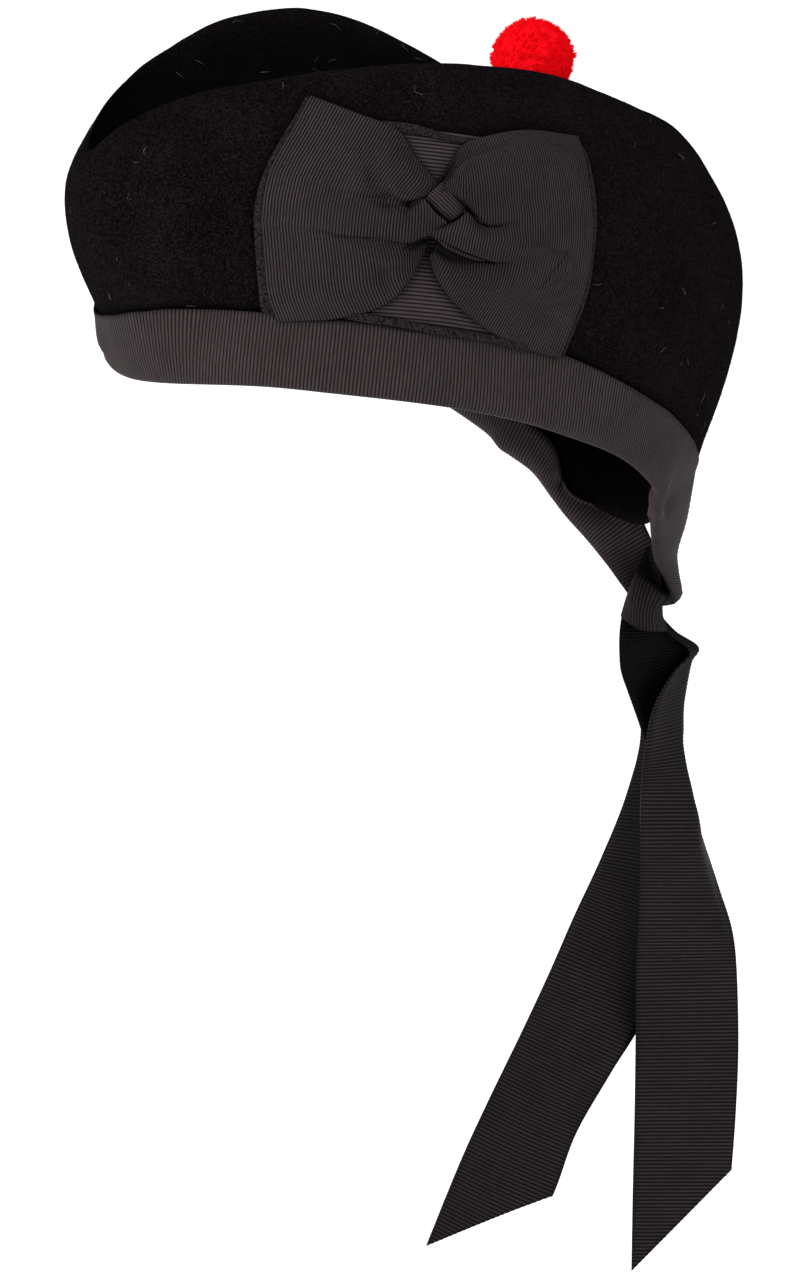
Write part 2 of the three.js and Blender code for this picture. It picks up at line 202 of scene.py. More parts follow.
def felt_finish():
    """Near-black milled wool: mottled at three scales and with a soft sheen. Painted shade darkens it
    near other felt and most of all between the ridges."""
    finish, tree, shader = new_finish("black_felt", 0.96, 0.0)
    place = own_place(tree)
    patches = add_node(tree, "TexNoise", {"Vector": place, "Scale": 60, "Detail": 5})
    clumps = add_node(tree, "TexNoise", {"Vector": place, "Scale": 1150, "Detail": 5, "Roughness": 0.6,
                                         "Distortion": 0.6})
    grain = add_node(tree, "TexNoise", {"Vector": place, "Scale": 2400, "Detail": 3, "Roughness": 0.6,
                                        "Distortion": 1.5})
    mottle = mixed(tree, [(patches.outputs["Fac"], 0.08), (clumps.outputs["Fac"], 0.32),
                          (grain.outputs["Fac"], 0.6)])
    colour = add_ramp(tree, mottle, [(0.43, (0.0005, 0.0003, 0.0005)), (0.50, (0.0027, 0.0019, 0.0023)),
                                     (0.57, (0.0155, 0.0113, 0.0135))])
    # Painted shade: the colour darkens where other felt is within 100 mm, and by the hollow attribute between
    # the ridges.
    add_colour(tree, shader, colour, add_painted_shade(tree, 100 * MM, 4.0, "hollow"))
    height = mixed(tree, [(clumps.outputs["Fac"], 1.6)], base=grain.outputs["Fac"])
    add_bump(tree, shader, height, 0.9, 0.5 * MM)
    shader.inputs["Sheen Weight"].default_value = 0.01
    shader.inputs["Sheen Roughness"].default_value = 0.6
    shader.inputs["Sheen Tint"].default_value = (0.75, 0.72, 0.85, 1)
    return finish


def through(points, places):
    """Catmull-Rom curve through points along their first axis, read at fractional places."""
    points = np.asarray(points, float)
    lower = np.clip(np.floor(places).astype(int), 0, len(points) - 2)
    share = (places - lower).reshape((-1,) + (1,) * (points.ndim - 1))
    padded = np.concatenate([2 * points[:1] - points[1:2], points, 2 * points[-1:] - points[-2:-1]])
    a, b, c, d = (padded[lower + step] for step in range(4))
    return 0.5 * (2 * b + (c - a) * share + (2 * a - 5 * b + 4 * c - d) * share ** 2
                  + (3 * b - a - 3 * c + d) * share ** 3)


# The rim of the felt and the line where the band's top edge comes: half the width, reach to the
# front and back, and heights every 45 degrees from the front to the back, in mm.
rim_ring = dict(half=80.5, front=98, back=99, height=[33.5, 37, 23.5, -17.5, -40])
top_ring = dict(half=81.5, front=108, back=107, height=[57, 62, 46.5, 6.5, -17])


def ring_height(ring, angle):
    """The ring's height at an angle, or at many. 0 is the left side and 90 degrees the back."""
    heights = [ring["height"][1], *ring["height"], ring["height"][3]]
    return through(np.array(heights), np.degrees(np.arcsin(np.sin(np.atleast_1d(angle)))) / 45 + 3)


def ring_place(ring, angle):
    """A place on the rim or at the band's top edge."""
    reach = ring["front"] if math.sin(angle) < 0 else ring["back"]
    return np.array([ring["half"] * math.cos(angle), reach * math.sin(angle), ring_height(ring, angle)[0]])


def bell(value, middle, spread):
    """1 at the middle, falling softly to nothing about two spreads away from it."""
    return np.exp(-((value - middle) / spread) ** 2)


def eased(value, start, end):
    """0 up to the start, 1 from the end on, and a soft slope between them."""
    share = np.clip((value - start) / (end - start), 0, 1)
    return (3 - 2 * share) * share ** 2


# The knotted ties draw the rim's back forward: how far, and how far behind the middle that starts and
# is full. Beside it they raise the rim: how far, where most, and how wide that spreads. All in mm.
forward_most, forward_start, forward_full = 11, 66, 86
upward_most, upward_at, upward_spread = 5.9, 50, 27


def drawn_in(places):
    """Moves places in mm on the rim's two back quarters as the knotted ties draw them."""
    angle = np.arctan2(places[:, 1] / rim_ring["back"], places[:, 0] / rim_ring["half"])
    below = eased(places[:, 2], ring_height(top_ring, angle), ring_height(rim_ring, angle))
    forward = forward_most * eased(places[:, 1], forward_start, forward_full) * below
    upward = upward_most * bell(places[:, 1], upward_at, upward_spread) * below
    return places + np.stack([np.zeros(len(places)), -forward, upward], 1)


# Half the width and half the length of the line of the two crests, and how much they are lifted at
# each angle, in mm. 0 is the left side, -90 degrees the front and -180 the right side.
crest_half, crest_reach = 52, 115.5
crest_lift = [(-215, 0), (-190, 1.2), (-175, 1.7), (-160, 1.2), (-145, -1), (-124, -2), (-110, 1),
              (-100, 4.5), (-90, 8.2), (-80, 8.8), (-70, 7.6), (-60, 6), (-45, 4), (-30, 2.8),
              (-15, 1.2), (0, 0)]


def from_middle(places):
    """How far places in mm are from the cap's middle line: 0 on it and 1 at the line of the crests."""
    return np.hypot(places[:, 0] / crest_half, places[:, 1] / crest_reach)


def crests_lifted(places):
    """Moves places in mm near the two crests up or down by the crests' lift."""
    angle = np.degrees(np.arctan2(places[:, 1] / crest_reach, places[:, 0] / crest_half))
    lift = np.interp(np.where(angle > 90, angle - 360, angle), *zip(*crest_lift))
    lift *= bell(from_middle(places), 1, 0.32) * eased(places[:, 2], 55, 95)
    return places + lift[:, None] * np.array([0, 0, 1])


def take_up(piece):
    """Selects one piece alone and makes it the one that is worked on."""
    bpy.ops.object.select_all(action="DESELECT")
    bpy.context.view_layer.objects.active = piece
    piece.select_set(True)


black_felt = felt_finish()
felt = bpy.data.objects.new("felt_crown", frame["nodes"]["crown"].data.copy())
bpy.context.collection.objects.link(felt)
take_up(felt)
bpy.ops.object.mode_set(mode="EDIT")
bpy.ops.mesh.select_all(action="SELECT")
bpy.ops.mesh.remove_doubles(threshold=0.01 * MM)
bpy.ops.mesh.tris_convert_to_quads(face_threshold=math.radians(60), shape_threshold=math.radians(60))
bpy.ops.object.mode_set(mode="OBJECT")
rounding = felt.modifiers.new("rounding", "SUBSURF")
rounding.levels = 2
rounding.render_levels = 2
bpy.ops.object.modifier_apply(modifier="rounding")
unevenness = bpy.data.textures.new("unevenness", "CLOUDS")
unevenness.noise_scale = 30 * MM
swelling = felt.modifiers.new("swelling", "DISPLACE")
swelling.texture = unevenness
swelling.texture_coords = "LOCAL"
swelling.strength = 1.2 * MM
bpy.ops.object.modifier_apply(modifier="swelling")
felt_shape = np.zeros(3 * len(felt.data.vertices))
felt.data.vertices.foreach_get("co", felt_shape)
felt_shape = crests_lifted(drawn_in(felt_shape.reshape(-1, 3) / MM))
felt.data.vertices.foreach_set("co", felt_shape.reshape(-1) * MM)
# Painted shade: the dip between the ridges loses most of its colour, in full from 0.42 inside the crests'
# line on.
between_ridges = np.clip((1 - from_middle(felt_shape)) / 0.42, 0, 1)
hollow = felt.data.attributes.new("hollow", "FLOAT", "POINT")
hollow.data.foreach_set("value", 0.85 * between_ridges)
bpy.ops.object.shade_smooth()
felt.data.materials.clear()
felt.data.materials.append(black_felt)
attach(felt, "root")
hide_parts("crown")
felt_tree = BVHTree.FromObject(felt, bpy.context.evaluated_depsgraph_get())


def unit(vectors):
    """The same ways with a length of 1."""
    return vectors / np.linalg.norm(vectors, axis=-1, keepdims=True)


def strands(name, lines, radii, finish, sides=3):
    """Many short closed strands in one mesh. lines holds three points for each, radii their sizes."""
    lines = np.asarray(lines, float)
    radii = np.broadcast_to(np.asarray(radii, float), lines.shape[:2])
    count = len(lines)
    run = unit(lines[:, 2] - lines[:, 0])
    helper = np.where(np.abs(run[:, 2:]) < 0.8, [[0.0, 0.0, 1.0]], [[1.0, 0.0, 0.0]])
    first = unit(np.cross(run, helper))
    second = np.cross(run, first)
    turns = 2 * math.pi * np.arange(sides) / sides
    ring = (np.cos(turns)[None, :, None] * first[:, None] + np.sin(turns)[None, :, None] * second[:, None])
    points = lines[:, :, None] + radii[:, :, None, None] * ring[:, None]
    faces = [tuple(reversed(range(sides))), tuple(2 * sides + side for side in range(sides))]
    for level in range(2):
        for side in range(sides):
            low, high = level * sides + side, level * sides + (side + 1) % sides
            faces.append((low, high, high + sides, low + sides))
    start = (3 * sides * np.arange(count))[:, None]
    polygons = [(start + np.array(face)).tolist() for face in faces]
    mesh = bpy.data.meshes.new(name)
    mesh.from_pydata(points.reshape(-1, 3).tolist(), [], [face for kind in polygons for face in kind])
    mesh.materials.append(finish)
    piece = bpy.data.objects.new(name, mesh)
    bpy.context.collection.objects.link(piece)
    mesh.shade_smooth()
    return piece


def felt_places(count):
    """Random places on the felt's outer face, with the way out of it there."""
    faces = felt.data.polygons
    middles, ways = (np.array([getattr(face, key) for face in faces]) for key in ("center", "normal"))
    sizes = np.array([face.area for face in faces])
    outer = (ways * (middles - np.array([0, 0, 45 * MM]))).sum(1) > 0
    valley = (np.abs(middles[:, 0]) < 50 * MM) & (middles[:, 2] > 70 * MM) & (ways[:, 2] > 0.1)
    share = sizes * (outer | valley)
    picked = chance.choice(len(faces), count, p=share / share.sum())
    jitter = chance.normal(0, 0.7 * MM, (count, 3))
    jitter -= ways[picked] * (jitter * ways[picked]).sum(1, keepdims=True)
    return middles[picked] + jitter, ways[picked]


chance = np.random.default_rng(7)
nap_count = 8000
nap_root, nap_way = felt_places(nap_count)
nap_lean = unit(np.cross(nap_way, unit(chance.normal(0, 1, (nap_count, 3)))))
nap_length = chance.uniform(0.8, 2.2, (nap_count, 1)) * MM
nap_middle = nap_root + (nap_lean * 0.5 + nap_way * 0.35) * nap_length
nap_tip = nap_middle + (nap_lean * 0.4 + nap_way * 0.15
                        + unit(chance.normal(0, 1, (nap_count, 3))) * 0.25) * nap_length
nap = strands("felt_nap", np.stack([nap_root - nap_way * 0.2 * MM, nap_middle, nap_tip], 1),
              np.array([0.035, 0.025, 0.01]) * MM, black_felt)
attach(nap, "root")


def speckled_finish(name, roughness, shine, scale, detail, tones):
    """Loose thread or wool, in tones that vary by a fine noise. The noise is returned as well."""
    finish, tree, shader = new_finish(name, roughness, shine)
    noise = add_node(tree, "TexNoise", {"Vector": own_place(tree), "Scale": scale, "Detail": detail})
    tree.links.new(add_ramp(tree, noise.outputs["Fac"], tones), shader.inputs["Base Color"])
    return finish, tree, shader, noise


pale_lint = speckled_finish(
    "pale_lint", 0.7, 0.5, 90, 2, [(0.4, (0.05, 0.05, 0.055)), (0.65, (0.3, 0.3, 0.32))])[0]
lint_count = 190
lint_root, lint_way = felt_places(lint_count)
lint_run = unit(np.cross(lint_way, unit(chance.normal(0, 1, (lint_count, 3)))))
lint_side = np.cross(lint_way, lint_run)
lint_length = chance.uniform(1.2, 4.5, (lint_count, 1)) * MM
lint_curl = chance.normal(0, 0.25, (lint_count, 1)) * lint_length
lint_lines = np.stack([lint_root + lint_way * 0.4 * MM,
                       lint_root + lint_run * lint_length * 0.5 + lint_side * lint_curl + lint_way * 0.9 * MM,
                       lint_root + lint_run * lint_length + lint_way * 0.5 * MM], 1)
lint = strands("felt_lint", lint_lines, np.array([0.03, 0.035, 0.02]) * MM, pale_lint)
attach(lint, "root")


# ---------------------------------------------------------------- band and ties
# One black grosgrain ribbon 36 mm wide is folded lengthways over the felt's rim and sewn down
# along its top edge, with its ribs upright. At the back it leaves the rim on both sides, still
# folded, and runs on as the two ties, which are knotted together below the felt.
def run_length(line):
    """How far along it each point of a line is, along the line's first axis."""
    steps = np.linalg.norm(np.diff(line, axis=0), axis=-1)
    return np.concatenate([np.zeros((1,) + steps.shape[1:]), np.cumsum(steps, axis=0)])


def run_across(grid):
    """How far across its row each point of a grid is."""
    return run_length(grid.swapaxes(0, 1)).swapaxes(0, 1)


def through_across(rows, count):
    """The rows with count places across each, on a curve through the ones that they have."""
    places = np.linspace(0, rows.shape[1] - 1, count)
    return np.ascontiguousarray(through(rows.swapaxes(0, 1), places).swapaxes(0, 1))


def evenly(rows, count):
    """count rows through the given ones, evenly spaced along the middle of the strip."""
    fine = np.linspace(0, len(rows) - 1, 40 * len(rows))
    middle = through(rows, fine)[:, rows.shape[1] // 2]
    far = run_length(middle)
    return through(rows, np.interp(np.linspace(0, far[-1], count), far, fine)), far[-1]


def ways_out(grid):
    """The way out of a grid of points at each of them."""
    along, across = np.gradient(grid, axis=0), np.gradient(grid, axis=1)
    return unit(np.cross(across, along))


def ribbon(name, grid, far, width, pitch, rib, finish, painted_shade=0.0):
    """A woven ribbon through a grid of rows of points: far is each point's distance along the
    ribbon and width its distance across. Ribs of that pitch and height cross it. The last argument is
    the share of its colour that each point loses as painted shade deep in a fold."""
    grid = grid + ways_out(grid) * (np.abs(np.sin(np.pi * far / pitch)) * rib)[..., None]
    rows, columns = grid.shape[:2]
    bpy.ops.object.select_all(action="DESELECT")
    bpy.ops.mesh.primitive_grid_add(x_subdivisions=columns - 1, y_subdivisions=rows - 1, size=1)
    piece = bpy.context.object
    piece.name = name
    mesh = piece.data
    mesh.vertices.foreach_set("co", grid.reshape(-1))
    corners = np.zeros(len(mesh.loops), int)
    mesh.loops.foreach_get("vertex_index", corners)
    weave = mesh.uv_layers.new(name="weave")
    weave.data.foreach_set("uv", np.stack([width, far], -1).reshape(-1, 2)[corners].reshape(-1))
    while len(mesh.uv_layers) > 1:
        mesh.uv_layers.remove(mesh.uv_layers[0])
    depths = mesh.attributes.new("painted_shade", "FLOAT", "POINT")
    depths.data.foreach_set("value", np.broadcast_to(np.asarray(painted_shade, float), far.shape).reshape(-1))
    mesh.update()
    mesh.materials.append(finish)
    return piece


def thicken(piece, thickness):
    """The cloth gets its thickness, half on each side, and its faces point outwards."""
    take_up(piece)
    wall = piece.modifiers.new("wall", "SOLIDIFY")
    wall.thickness = thickness
    wall.offset = 0
    bpy.ops.object.modifier_apply(modifier="wall")
    bpy.ops.object.mode_set(mode="EDIT")
    bpy.ops.mesh.select_all(action="SELECT")
    bpy.ops.mesh.normals_make_consistent(inside=False)
    bpy.ops.object.mode_set(mode="OBJECT")
    bpy.ops.object.shade_smooth()


def ridges(tree, place, every):
    """Even ridges along a coordinate: 0 between them and 1 on top of them."""
    wave = add_math(tree, "SINE", add_math(tree, "MULTIPLY", place, math.pi / every))
    return add_math(tree, "ABSOLUTE", wave)


def grosgrain_finish(name, pitch, tone, between, near=14 * MM, fall=1.8):
    """Warm black ribbed ribbon, with fine warp threads over its ribs. Between them it has painted
    shade, only a share of their tone. It has more painted shade where other cloth is within near of it."""
    finish, tree, shader = new_finish(name, 0.62, 0.07)
    weave = add_node(tree, "UVMap", {}, uv_map="weave")
    axes = add_node(tree, "SeparateXYZ", {"Vector": weave.outputs["UV"]})
    rib = ridges(tree, axes.outputs["Y"], pitch)
    warp = ridges(tree, axes.outputs["X"], 0.42 * MM)
    stretch = add_node(tree, "Mapping", {"Vector": weave.outputs["UV"], "Scale": (260, 1300, 1)})
    streaks = add_node(tree, "TexNoise", {"Vector": stretch.outputs["Vector"], "Scale": 1, "Detail": 3})
    bloom = add_node(tree, "TexNoise", {"Vector": own_place(tree), "Scale": 75, "Detail": 4})
    warm = np.array([0.052, 0.0385, 0.0398]) * tone
    # Painted shade in the hollows between the ribs.
    shade = add_ramp(tree, rib, [(0.0, warm * between * 0.25), (0.42, warm * between),
                                 (0.76, warm * 0.8), (1.0, warm)])
    worn = mixed(tree, [(streaks.outputs["Fac"], 0.9), (bloom.outputs["Fac"], 0.6)], base=0.25)
    # Painted shade near other cloth and deep in folds, on top of the random streaks and blotches.
    add_colour(tree, shader, shade, add_math(tree, "MULTIPLY", worn, add_painted_shade(tree, near, fall, "painted_shade")))
    height = mixed(tree, [(warp, 0.35), (streaks.outputs["Fac"], 0.6)], base=rib)
    add_bump(tree, shader, height, 0.6, 0.18 * MM)
    return finish


def felt_at(place):
    """The nearest place on the felt's face, and the way out of it there."""
    spot, way, _, _ = felt_tree.find_nearest(place)
    return np.array(spot), np.array(way)


rib_pitch = 1.2 * MM
rib_height = 0.14 * MM
ribbon_width = 36 * MM
ribbon_thick = 0.7 * MM
band_grosgrain = grosgrain_finish("band_grosgrain", rib_pitch, 0.8, 0.12)
# How much of the height between the two rings the band covers, by angle, and how far its lower part
# stands off the felt round the wearer's right front.
band_cover = [(-230, 0.95), (-180, 1.0), (-150, 0.88), (-125, 0.7), (-113, 0.62), (-98, 0.8), (-90, 0.92),
              (-80, 1.03), (-69, 1.07), (-45, 1.02), (-20, 1.04), (-8, 1.13), (37, 1.13), (45, 1.03),
              (52, 0.95)]
# How far round from its rib's upper end a rib meets the fold, by angle, so that it stands upright.
rib_turn = [(-230, 0), (-100, 0), (-78, -5), (-60, -8), (-40, -5), (-20, -3), (0, 0), (51, 0)]
front_bulge = 2.6
# The ribbon past the rim, on its way to the knot: its top edge and its fold, how far it bows out
# between them, and the gap between its two layers, in mm.
left_way = [
    ((49.5, 84, -0.1), (48.5, 72.5, -22.2), 0.3, 4.6),
    ((40, 91.1, -7), (41, 77.3, -27.1), 0.3, 4.5),
    ((32, 96.5, -13.7), (35, 80.9, -32.3), 0.5, 4.2),
    ((25, 100.1, -20.2), (29, 84.5, -37.8), 0.8, 3.6),
    ((16, 103.4, -35), (24.5, 87.4, -43.3), 1, 3),
    ((10.5, 103.4, -47.4), (21.5, 90.3, -48), 1, 2.4),
    ((8, 105.5, -55.4), (19, 94.3, -52.5), 1, 2),
    ((8, 106.8, -62.2), (16, 98.1, -57.8), 1, 1.8),
    ((9, 105, -65), (13, 100.1, -61.6), 0.8, 1.5),
    ((8.5, 100.7, -65.7), (10.5, 98.6, -63.3), 0.6, 1.2),
]
right_way = [
    ((-48.5, 85.4, -1.5), (-48.0, 73.1, -22.0), 0.3, 6.5),
    ((-40.7, 91.9, -7.1), (-41.0, 77.6, -27.0), 0.3, 6.4),
    ((-33.0, 96.6, -13.5), (-34.0, 81.0, -34.8), 0.5, 5.6),
    ((-25.0, 98.2, -19.6), (-28.5, 83.6, -40.5), 0.8, 3.6),
    ((-16.0, 101.5, -34.0), (-20.0, 86.8, -47.0), 1.2, 3.0),
    ((-8.0, 104.0, -46.0), (-12.5, 89.8, -54.0), 1.2, 2.4),
    ((-2.0, 104.5, -55.0), (-6.0, 91.6, -60.0), 1.2, 2.0),
    ((0.6, 103.5, -63.0), (-1.4, 93.8, -66.0), 1.0, 1.6),
    ((2.5, 102.0, -71.0), (2.0, 96.0, -73.0), 0.8, 1.2),
]
on_rim = []
rim_angles = range(-230, 51, 5)
for degrees in rim_angles:
    top, rim = (ring_place(ring, math.radians(degrees)) for ring in (top_ring, rim_ring))
    cover = np.interp(degrees, *zip(*band_cover))
    turn = np.interp(degrees, *zip(*rib_turn))
    gap = 4.8 + 1.5 * bell(degrees, -228, 15)
    on_rim.append((drawn_in((rim + (top - rim) * cover)[None])[0],
                   drawn_in(ring_place(rim_ring, math.radians(degrees + turn))[None])[0], 0.0, gap))
sections = right_way[::-1] + on_rim + left_way
tops, folds = (np.array([row[column] for row in sections], float) * MM for column in (0, 1))
bows, gaps = (np.array([[row[column]] for row in sections]) * MM for column in (2, 3))
rise = tops - folds
reach = np.linalg.norm(rise, axis=1, keepdims=True)
facing = unit(np.cross(np.gradient((tops + folds) / 2, axis=0), rise))
turned_in = np.clip((ribbon_width - reach) / reach, 0.25, 0.95)
# Ten places across the ribbon: six down its outer layer and four up its inner one.
band_rows = [folds + rise * level + facing * bows * 4 * level * (1 - level)
             for level in (1.0, 0.8, 0.6, 0.4, 0.2, 0.05)]
band_rows += [folds + rise * turned_in * level - facing * gaps * depth
              for level, depth in ((-0.05, 0.33), (0.12, 0.95), (0.5, 1.0), (1.0, 1.0))]
band_rows = np.stack(band_rows, 1)
# The outer layer lies on the felt, up to the second row past the rim on each side.
for row in range(len(right_way) - 2, len(sections) - len(left_way) + 2):
    for column in range(5):
        spot, way = felt_at(band_rows[row, column])
        band_rows[row, column] = spot + way * 0.8 * MM
# Round the wearer's right front it bulges, and there and at the right back its fold hangs lower.
for row, degrees in enumerate(rim_angles, len(right_way)):
    bulge = front_bulge * MM * bell(degrees, -118, 30)
    band_rows[row, 1:7] += facing[row] * bulge * np.array([0.3, 0.7, 1.0, 1.0, 1.0, 0.8])[:, None]
    band_rows[row, 3:8, 2] -= 1.2 * MM * bell(degrees, -108, 24)
    band_rows[row, 5:8, 2] -= 1.1 * MM * bell(degrees, -215, 25)


def clear_of_felt(grid, gap):
    """Moves the places of a grid that are nearer to the felt than a gap out to it."""
    for place in grid.reshape(-1, 3):
        spot, way = felt_at(place)
        near = gap - (place - spot) @ way
        if 0 < near < 2 * MM:
            place += way * near


def kept_inside(grid, gap):
    """Moves the places of a grid that are past the felt's inner face back inside it, smoothly."""
    moves = np.zeros(grid.shape)
    for index in np.ndindex(grid.shape[:2]):
        middle = Vector((0, 20 * MM, grid[index][2]))
        way = Vector(grid[index]) - middle
        spot = felt_tree.ray_cast(middle, way.normalized(), way.length + gap)[0]
        if spot:
            moves[index] = spot - way.normalized() * gap - Vector(grid[index])
    soft = 1.3 * np.hanning(61) / np.hanning(61).sum()
    grid += np.apply_along_axis(np.convolve, 0, moves, soft, "same")


rows_per_rib = 4
band_long = evenly(band_rows, 2)[1]
band_count = int(band_long / rib_pitch) * rows_per_rib + 1
band_rows, band_long = evenly(band_rows, band_count)
band_grid = through_across(band_rows, 22)
clear_of_felt(band_grid, 0.6 * MM)
kept_inside(band_grid[:band_count // 3, 14:], 1.1 * MM)
band_far = np.broadcast_to(np.linspace(0, band_long, band_count)[:, None], band_grid.shape[:2])
band_wide = run_across(band_grid)


def leaving_row(way):
    """The ribbon's row, in the hollow between two ribs, where it leaves the felt."""
    place = np.array(way[3][0]) * MM
    nearest = np.argmin(np.linalg.norm(band_grid[:, 0] - place, axis=1))
    return int(round(nearest / rows_per_rib)) * rows_per_rib


leaves_right, leaves_left = leaving_row(right_way), leaving_row(left_way)
# The ends that run into the knot get painted shade: the right one over 32 mm, the left one over 70 mm.
band_painted_shade = np.clip(0.9 - 0.9 * band_far / (32 * MM), 0, 1)
band_painted_shade += 0.3 * np.clip((band_far - band_long) / (70 * MM) + 1, 0, 1)
for name, node, first, last in (("tie_right_ribbon", "tie_right", 0, leaves_right),
                                ("band_ribbon", "band", leaves_right, leaves_left),
                                ("tie_left_ribbon", "tie_left", leaves_left, band_count - 1)):
    part = slice(first, last + 1)
    piece = ribbon(name, band_grid[part], band_far[part], band_wide[part], rib_pitch, rib_height,
                   band_grosgrain, band_painted_shade[part])
    thicken(piece, ribbon_thick)
    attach(piece, "root")
    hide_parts(node)

# The sewing along the band's top edge: short slanting stitches of black thread.
black_thread = speckled_finish(
    "black_thread", 0.8, 0.1, 1500, 2, [(0.35, (0.0015, 0.001, 0.0012)), (0.7, (0.02, 0.014, 0.015))])[0]


def stitches(name, edge, inside, way, length, every, lift, radius=0.16 * MM):
    """Short stitches across an edge: a line of places, and at each the way into the cloth and out
    of it. Each stitch goes down through the cloth at one end and over its edge at the other."""
    far = run_length(edge)
    count = int(far[-1] / every)
    spread = (np.arange(count) + 0.5) * every + chance.normal(0, every * 0.08, count)
    at = [np.stack([np.interp(spread, far, line[:, axis]) for axis in range(3)], 1)
          for line in (edge, inside, way)]
    along = unit(np.gradient(at[0], axis=0)) * chance.normal(0.25, 0.15, (count, 1)) * length
    start = at[0] + at[1] * length * 0.75 + at[2] * (lift - 0.1 * MM) + along
    end = at[0] - at[1] * length * 0.25 + at[2] * (lift - 0.5 * MM)
    middle = (start + end) / 2 + at[2] * 0.22 * MM
    piece = strands(name, np.stack([start, middle, end], 1), [radius * 0.7, radius, radius * 0.7],
                    black_thread, sides=5)
    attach(piece, "root")
    return piece


sewn = slice(leaves_right, leaves_left + 1, rows_per_rib)
band_way = ways_out(band_grid)
stitches("band_stitches", band_grid[sewn, 0], unit(band_grid[sewn, 1] - band_grid[sewn, 0]),
         band_way[sewn, 0], 1.6 * MM, 2.6 * MM, 0.42 * MM)


# ---------------------------------------------------------------- cockade
# A bow of wide black grosgrain on a ribbon patch, sewn to the felt's left side. Each wing is a
# flattened loop, stitched along its outer end and gathered at the middle, where the two wings'
# folds pass over each other round a small square of ribbon.
def left_side(along, high, lift):
    """The place on the felt's left face at a distance along and height, lifted off it, in mm."""
    hits = []
    for near_along, near_high in ((0, 0), (3, 0), (-3, 0), (0, 3), (0, -3)):
        origin = Vector((0.2, (along + near_along) * MM, (high + near_high) * MM))
        hits.append(felt_tree.ray_cast(origin, Vector((-1, 0, 0))))
    way = sum((np.array(hit[1]) for hit in hits if hit[1] is not None), np.zeros(3))
    return np.array(hits[0][0]) + unit(way) * lift * MM


def sewn_grid(rows, lines, spots):
    """A fine grid of places on the felt through rows of (along, high, lift), which is laid on it at
    33 places in each line."""
    rows = through_across(through(rows, np.linspace(0, len(rows) - 1, lines)), 33)
    return through_across(np.array([[left_side(*spot) for spot in row] for row in rows]), spots)


def sewn_line(places, lift, count):
    """A line of places on the felt through (along, high), lifted off it, in mm."""
    return through([left_side(*place, lift) for place in places], np.linspace(0, len(places) - 1, count))


def selvedge(name, inner, outer, lift, fuzz=1.0):
    """A narrow plain edge of cloth between two lines of (along, high) in mm on the felt's left face,
    with loose thread ends along its outer line."""
    rows = [[(*first, lift), (*np.mean([first, last], 0), lift + 0.1), (*last, lift - 0.3)]
            for first, last in zip(inner, outer)]
    grid = sewn_grid(rows, 130, 6)
    if np.cross(grid[60, -1] - grid[60, 0], grid[61, 0] - grid[60, 0])[0] < 0:
        grid = grid[:, ::-1]
    piece = ribbon(name, grid, run_length(grid), run_across(grid), wing_pitch, 0.0, edge_weave)
    thicken(piece, wing_thick)
    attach(piece, "root")
    line, within = (sewn_line(places, lift - 0.2, 300) for places in (outer, inner))
    count = int(run_length(line)[-1] / (0.22 * MM))
    picked = chance.integers(1, 299, count)
    away = unit(line[picked] - within[picked])
    lean = unit(chance.normal(0, 1, (count, 3)) + away * 0.9)
    size = chance.uniform(0.25, 0.8, (count, 1)) * MM * fuzz
    root = line[picked] - away * 0.4 * MM
    tip = root + lean * size + away * 0.35 * MM
    middle = (root + tip) / 2 + chance.normal(0, 0.06 * MM, (count, 3))
    ends = strands(name + "_threads", np.stack([root, middle, tip], 1), np.array([0.06, 0.05, 0.03]) * MM,
                   edge_weave)
    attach(ends, "root")
    return [piece, ends]


def crease(grid, line, depth, spread_left, spread_right):
    """Presses a line of (along, high) into the cloth. It spreads by one width to the left of the
    line's run and by another to its right, so that a narrow side reads as the edge of a fold, and
    it fades out at the line's ends."""
    way = ways_out(grid)
    way *= np.sign(way[..., :1])
    flat = grid[..., 1:] / MM
    line = np.array(line, float)
    pressed = np.zeros(grid.shape[:2])
    long = run_length(line)
    for start, end, gone in zip(line, line[1:], long):
        step = end - start
        share = np.clip(((flat - start) @ step) / (step @ step), 0, 1)
        from_line = flat - start - share[..., None] * step
        left = step[0] * from_line[..., 1] - step[1] * from_line[..., 0] > 0
        spread = np.where(left, spread_left, spread_right)
        along = (gone + share * np.linalg.norm(step)) / long[-1]
        fade = np.clip(np.minimum(along, 1 - along) * 3.2, 0, 1)
        off = np.linalg.norm(from_line, axis=-1) / (spread * (0.25 + 0.75 * fade))
        pressed = np.maximum(pressed, np.exp(-off ** 2) * fade)
    return grid - way * (pressed * depth * MM)[..., None]


# along, high and lift in mm at the patch's front edge, middle and back edge, from its top down
patch_rows = [
    [(-50, 120.5, 0.7), (-28, 118, 0.7), (-2, 113, 0.7)],
    [(-54, 95, 0.7), (-29, 92, 0.7), (-3, 88, 0.7)],
    [(-57, 75, 0.7), (-31, 71, 0.7), (-4, 67, 0.7)],
    [(-59, 61.5, 1.9), (-33, 56.5, 2.0), (-6, 50, 2.0)],
]
patch_pitch = 1.3 * MM
wing_pitch = 1.0 * MM
wing_rib = 0.11 * MM
wing_thick = 0.5 * MM
patch_grosgrain = grosgrain_finish("patch_grosgrain", patch_pitch, 0.9, 0.06)
wing_grosgrain = grosgrain_finish("wing_grosgrain", wing_pitch, 0.7, 0.06)
edge_weave, edge_tree, edge_shader, edge_noise = speckled_finish(
    "edge_weave", 0.85, 0.08, 1300, 4, [(0.38, (0.002, 0.0013, 0.0014)), (0.66, (0.026, 0.0188, 0.0195))])
add_bump(edge_tree, edge_shader, edge_noise.outputs["Fac"], 0.8, 0.3 * MM)
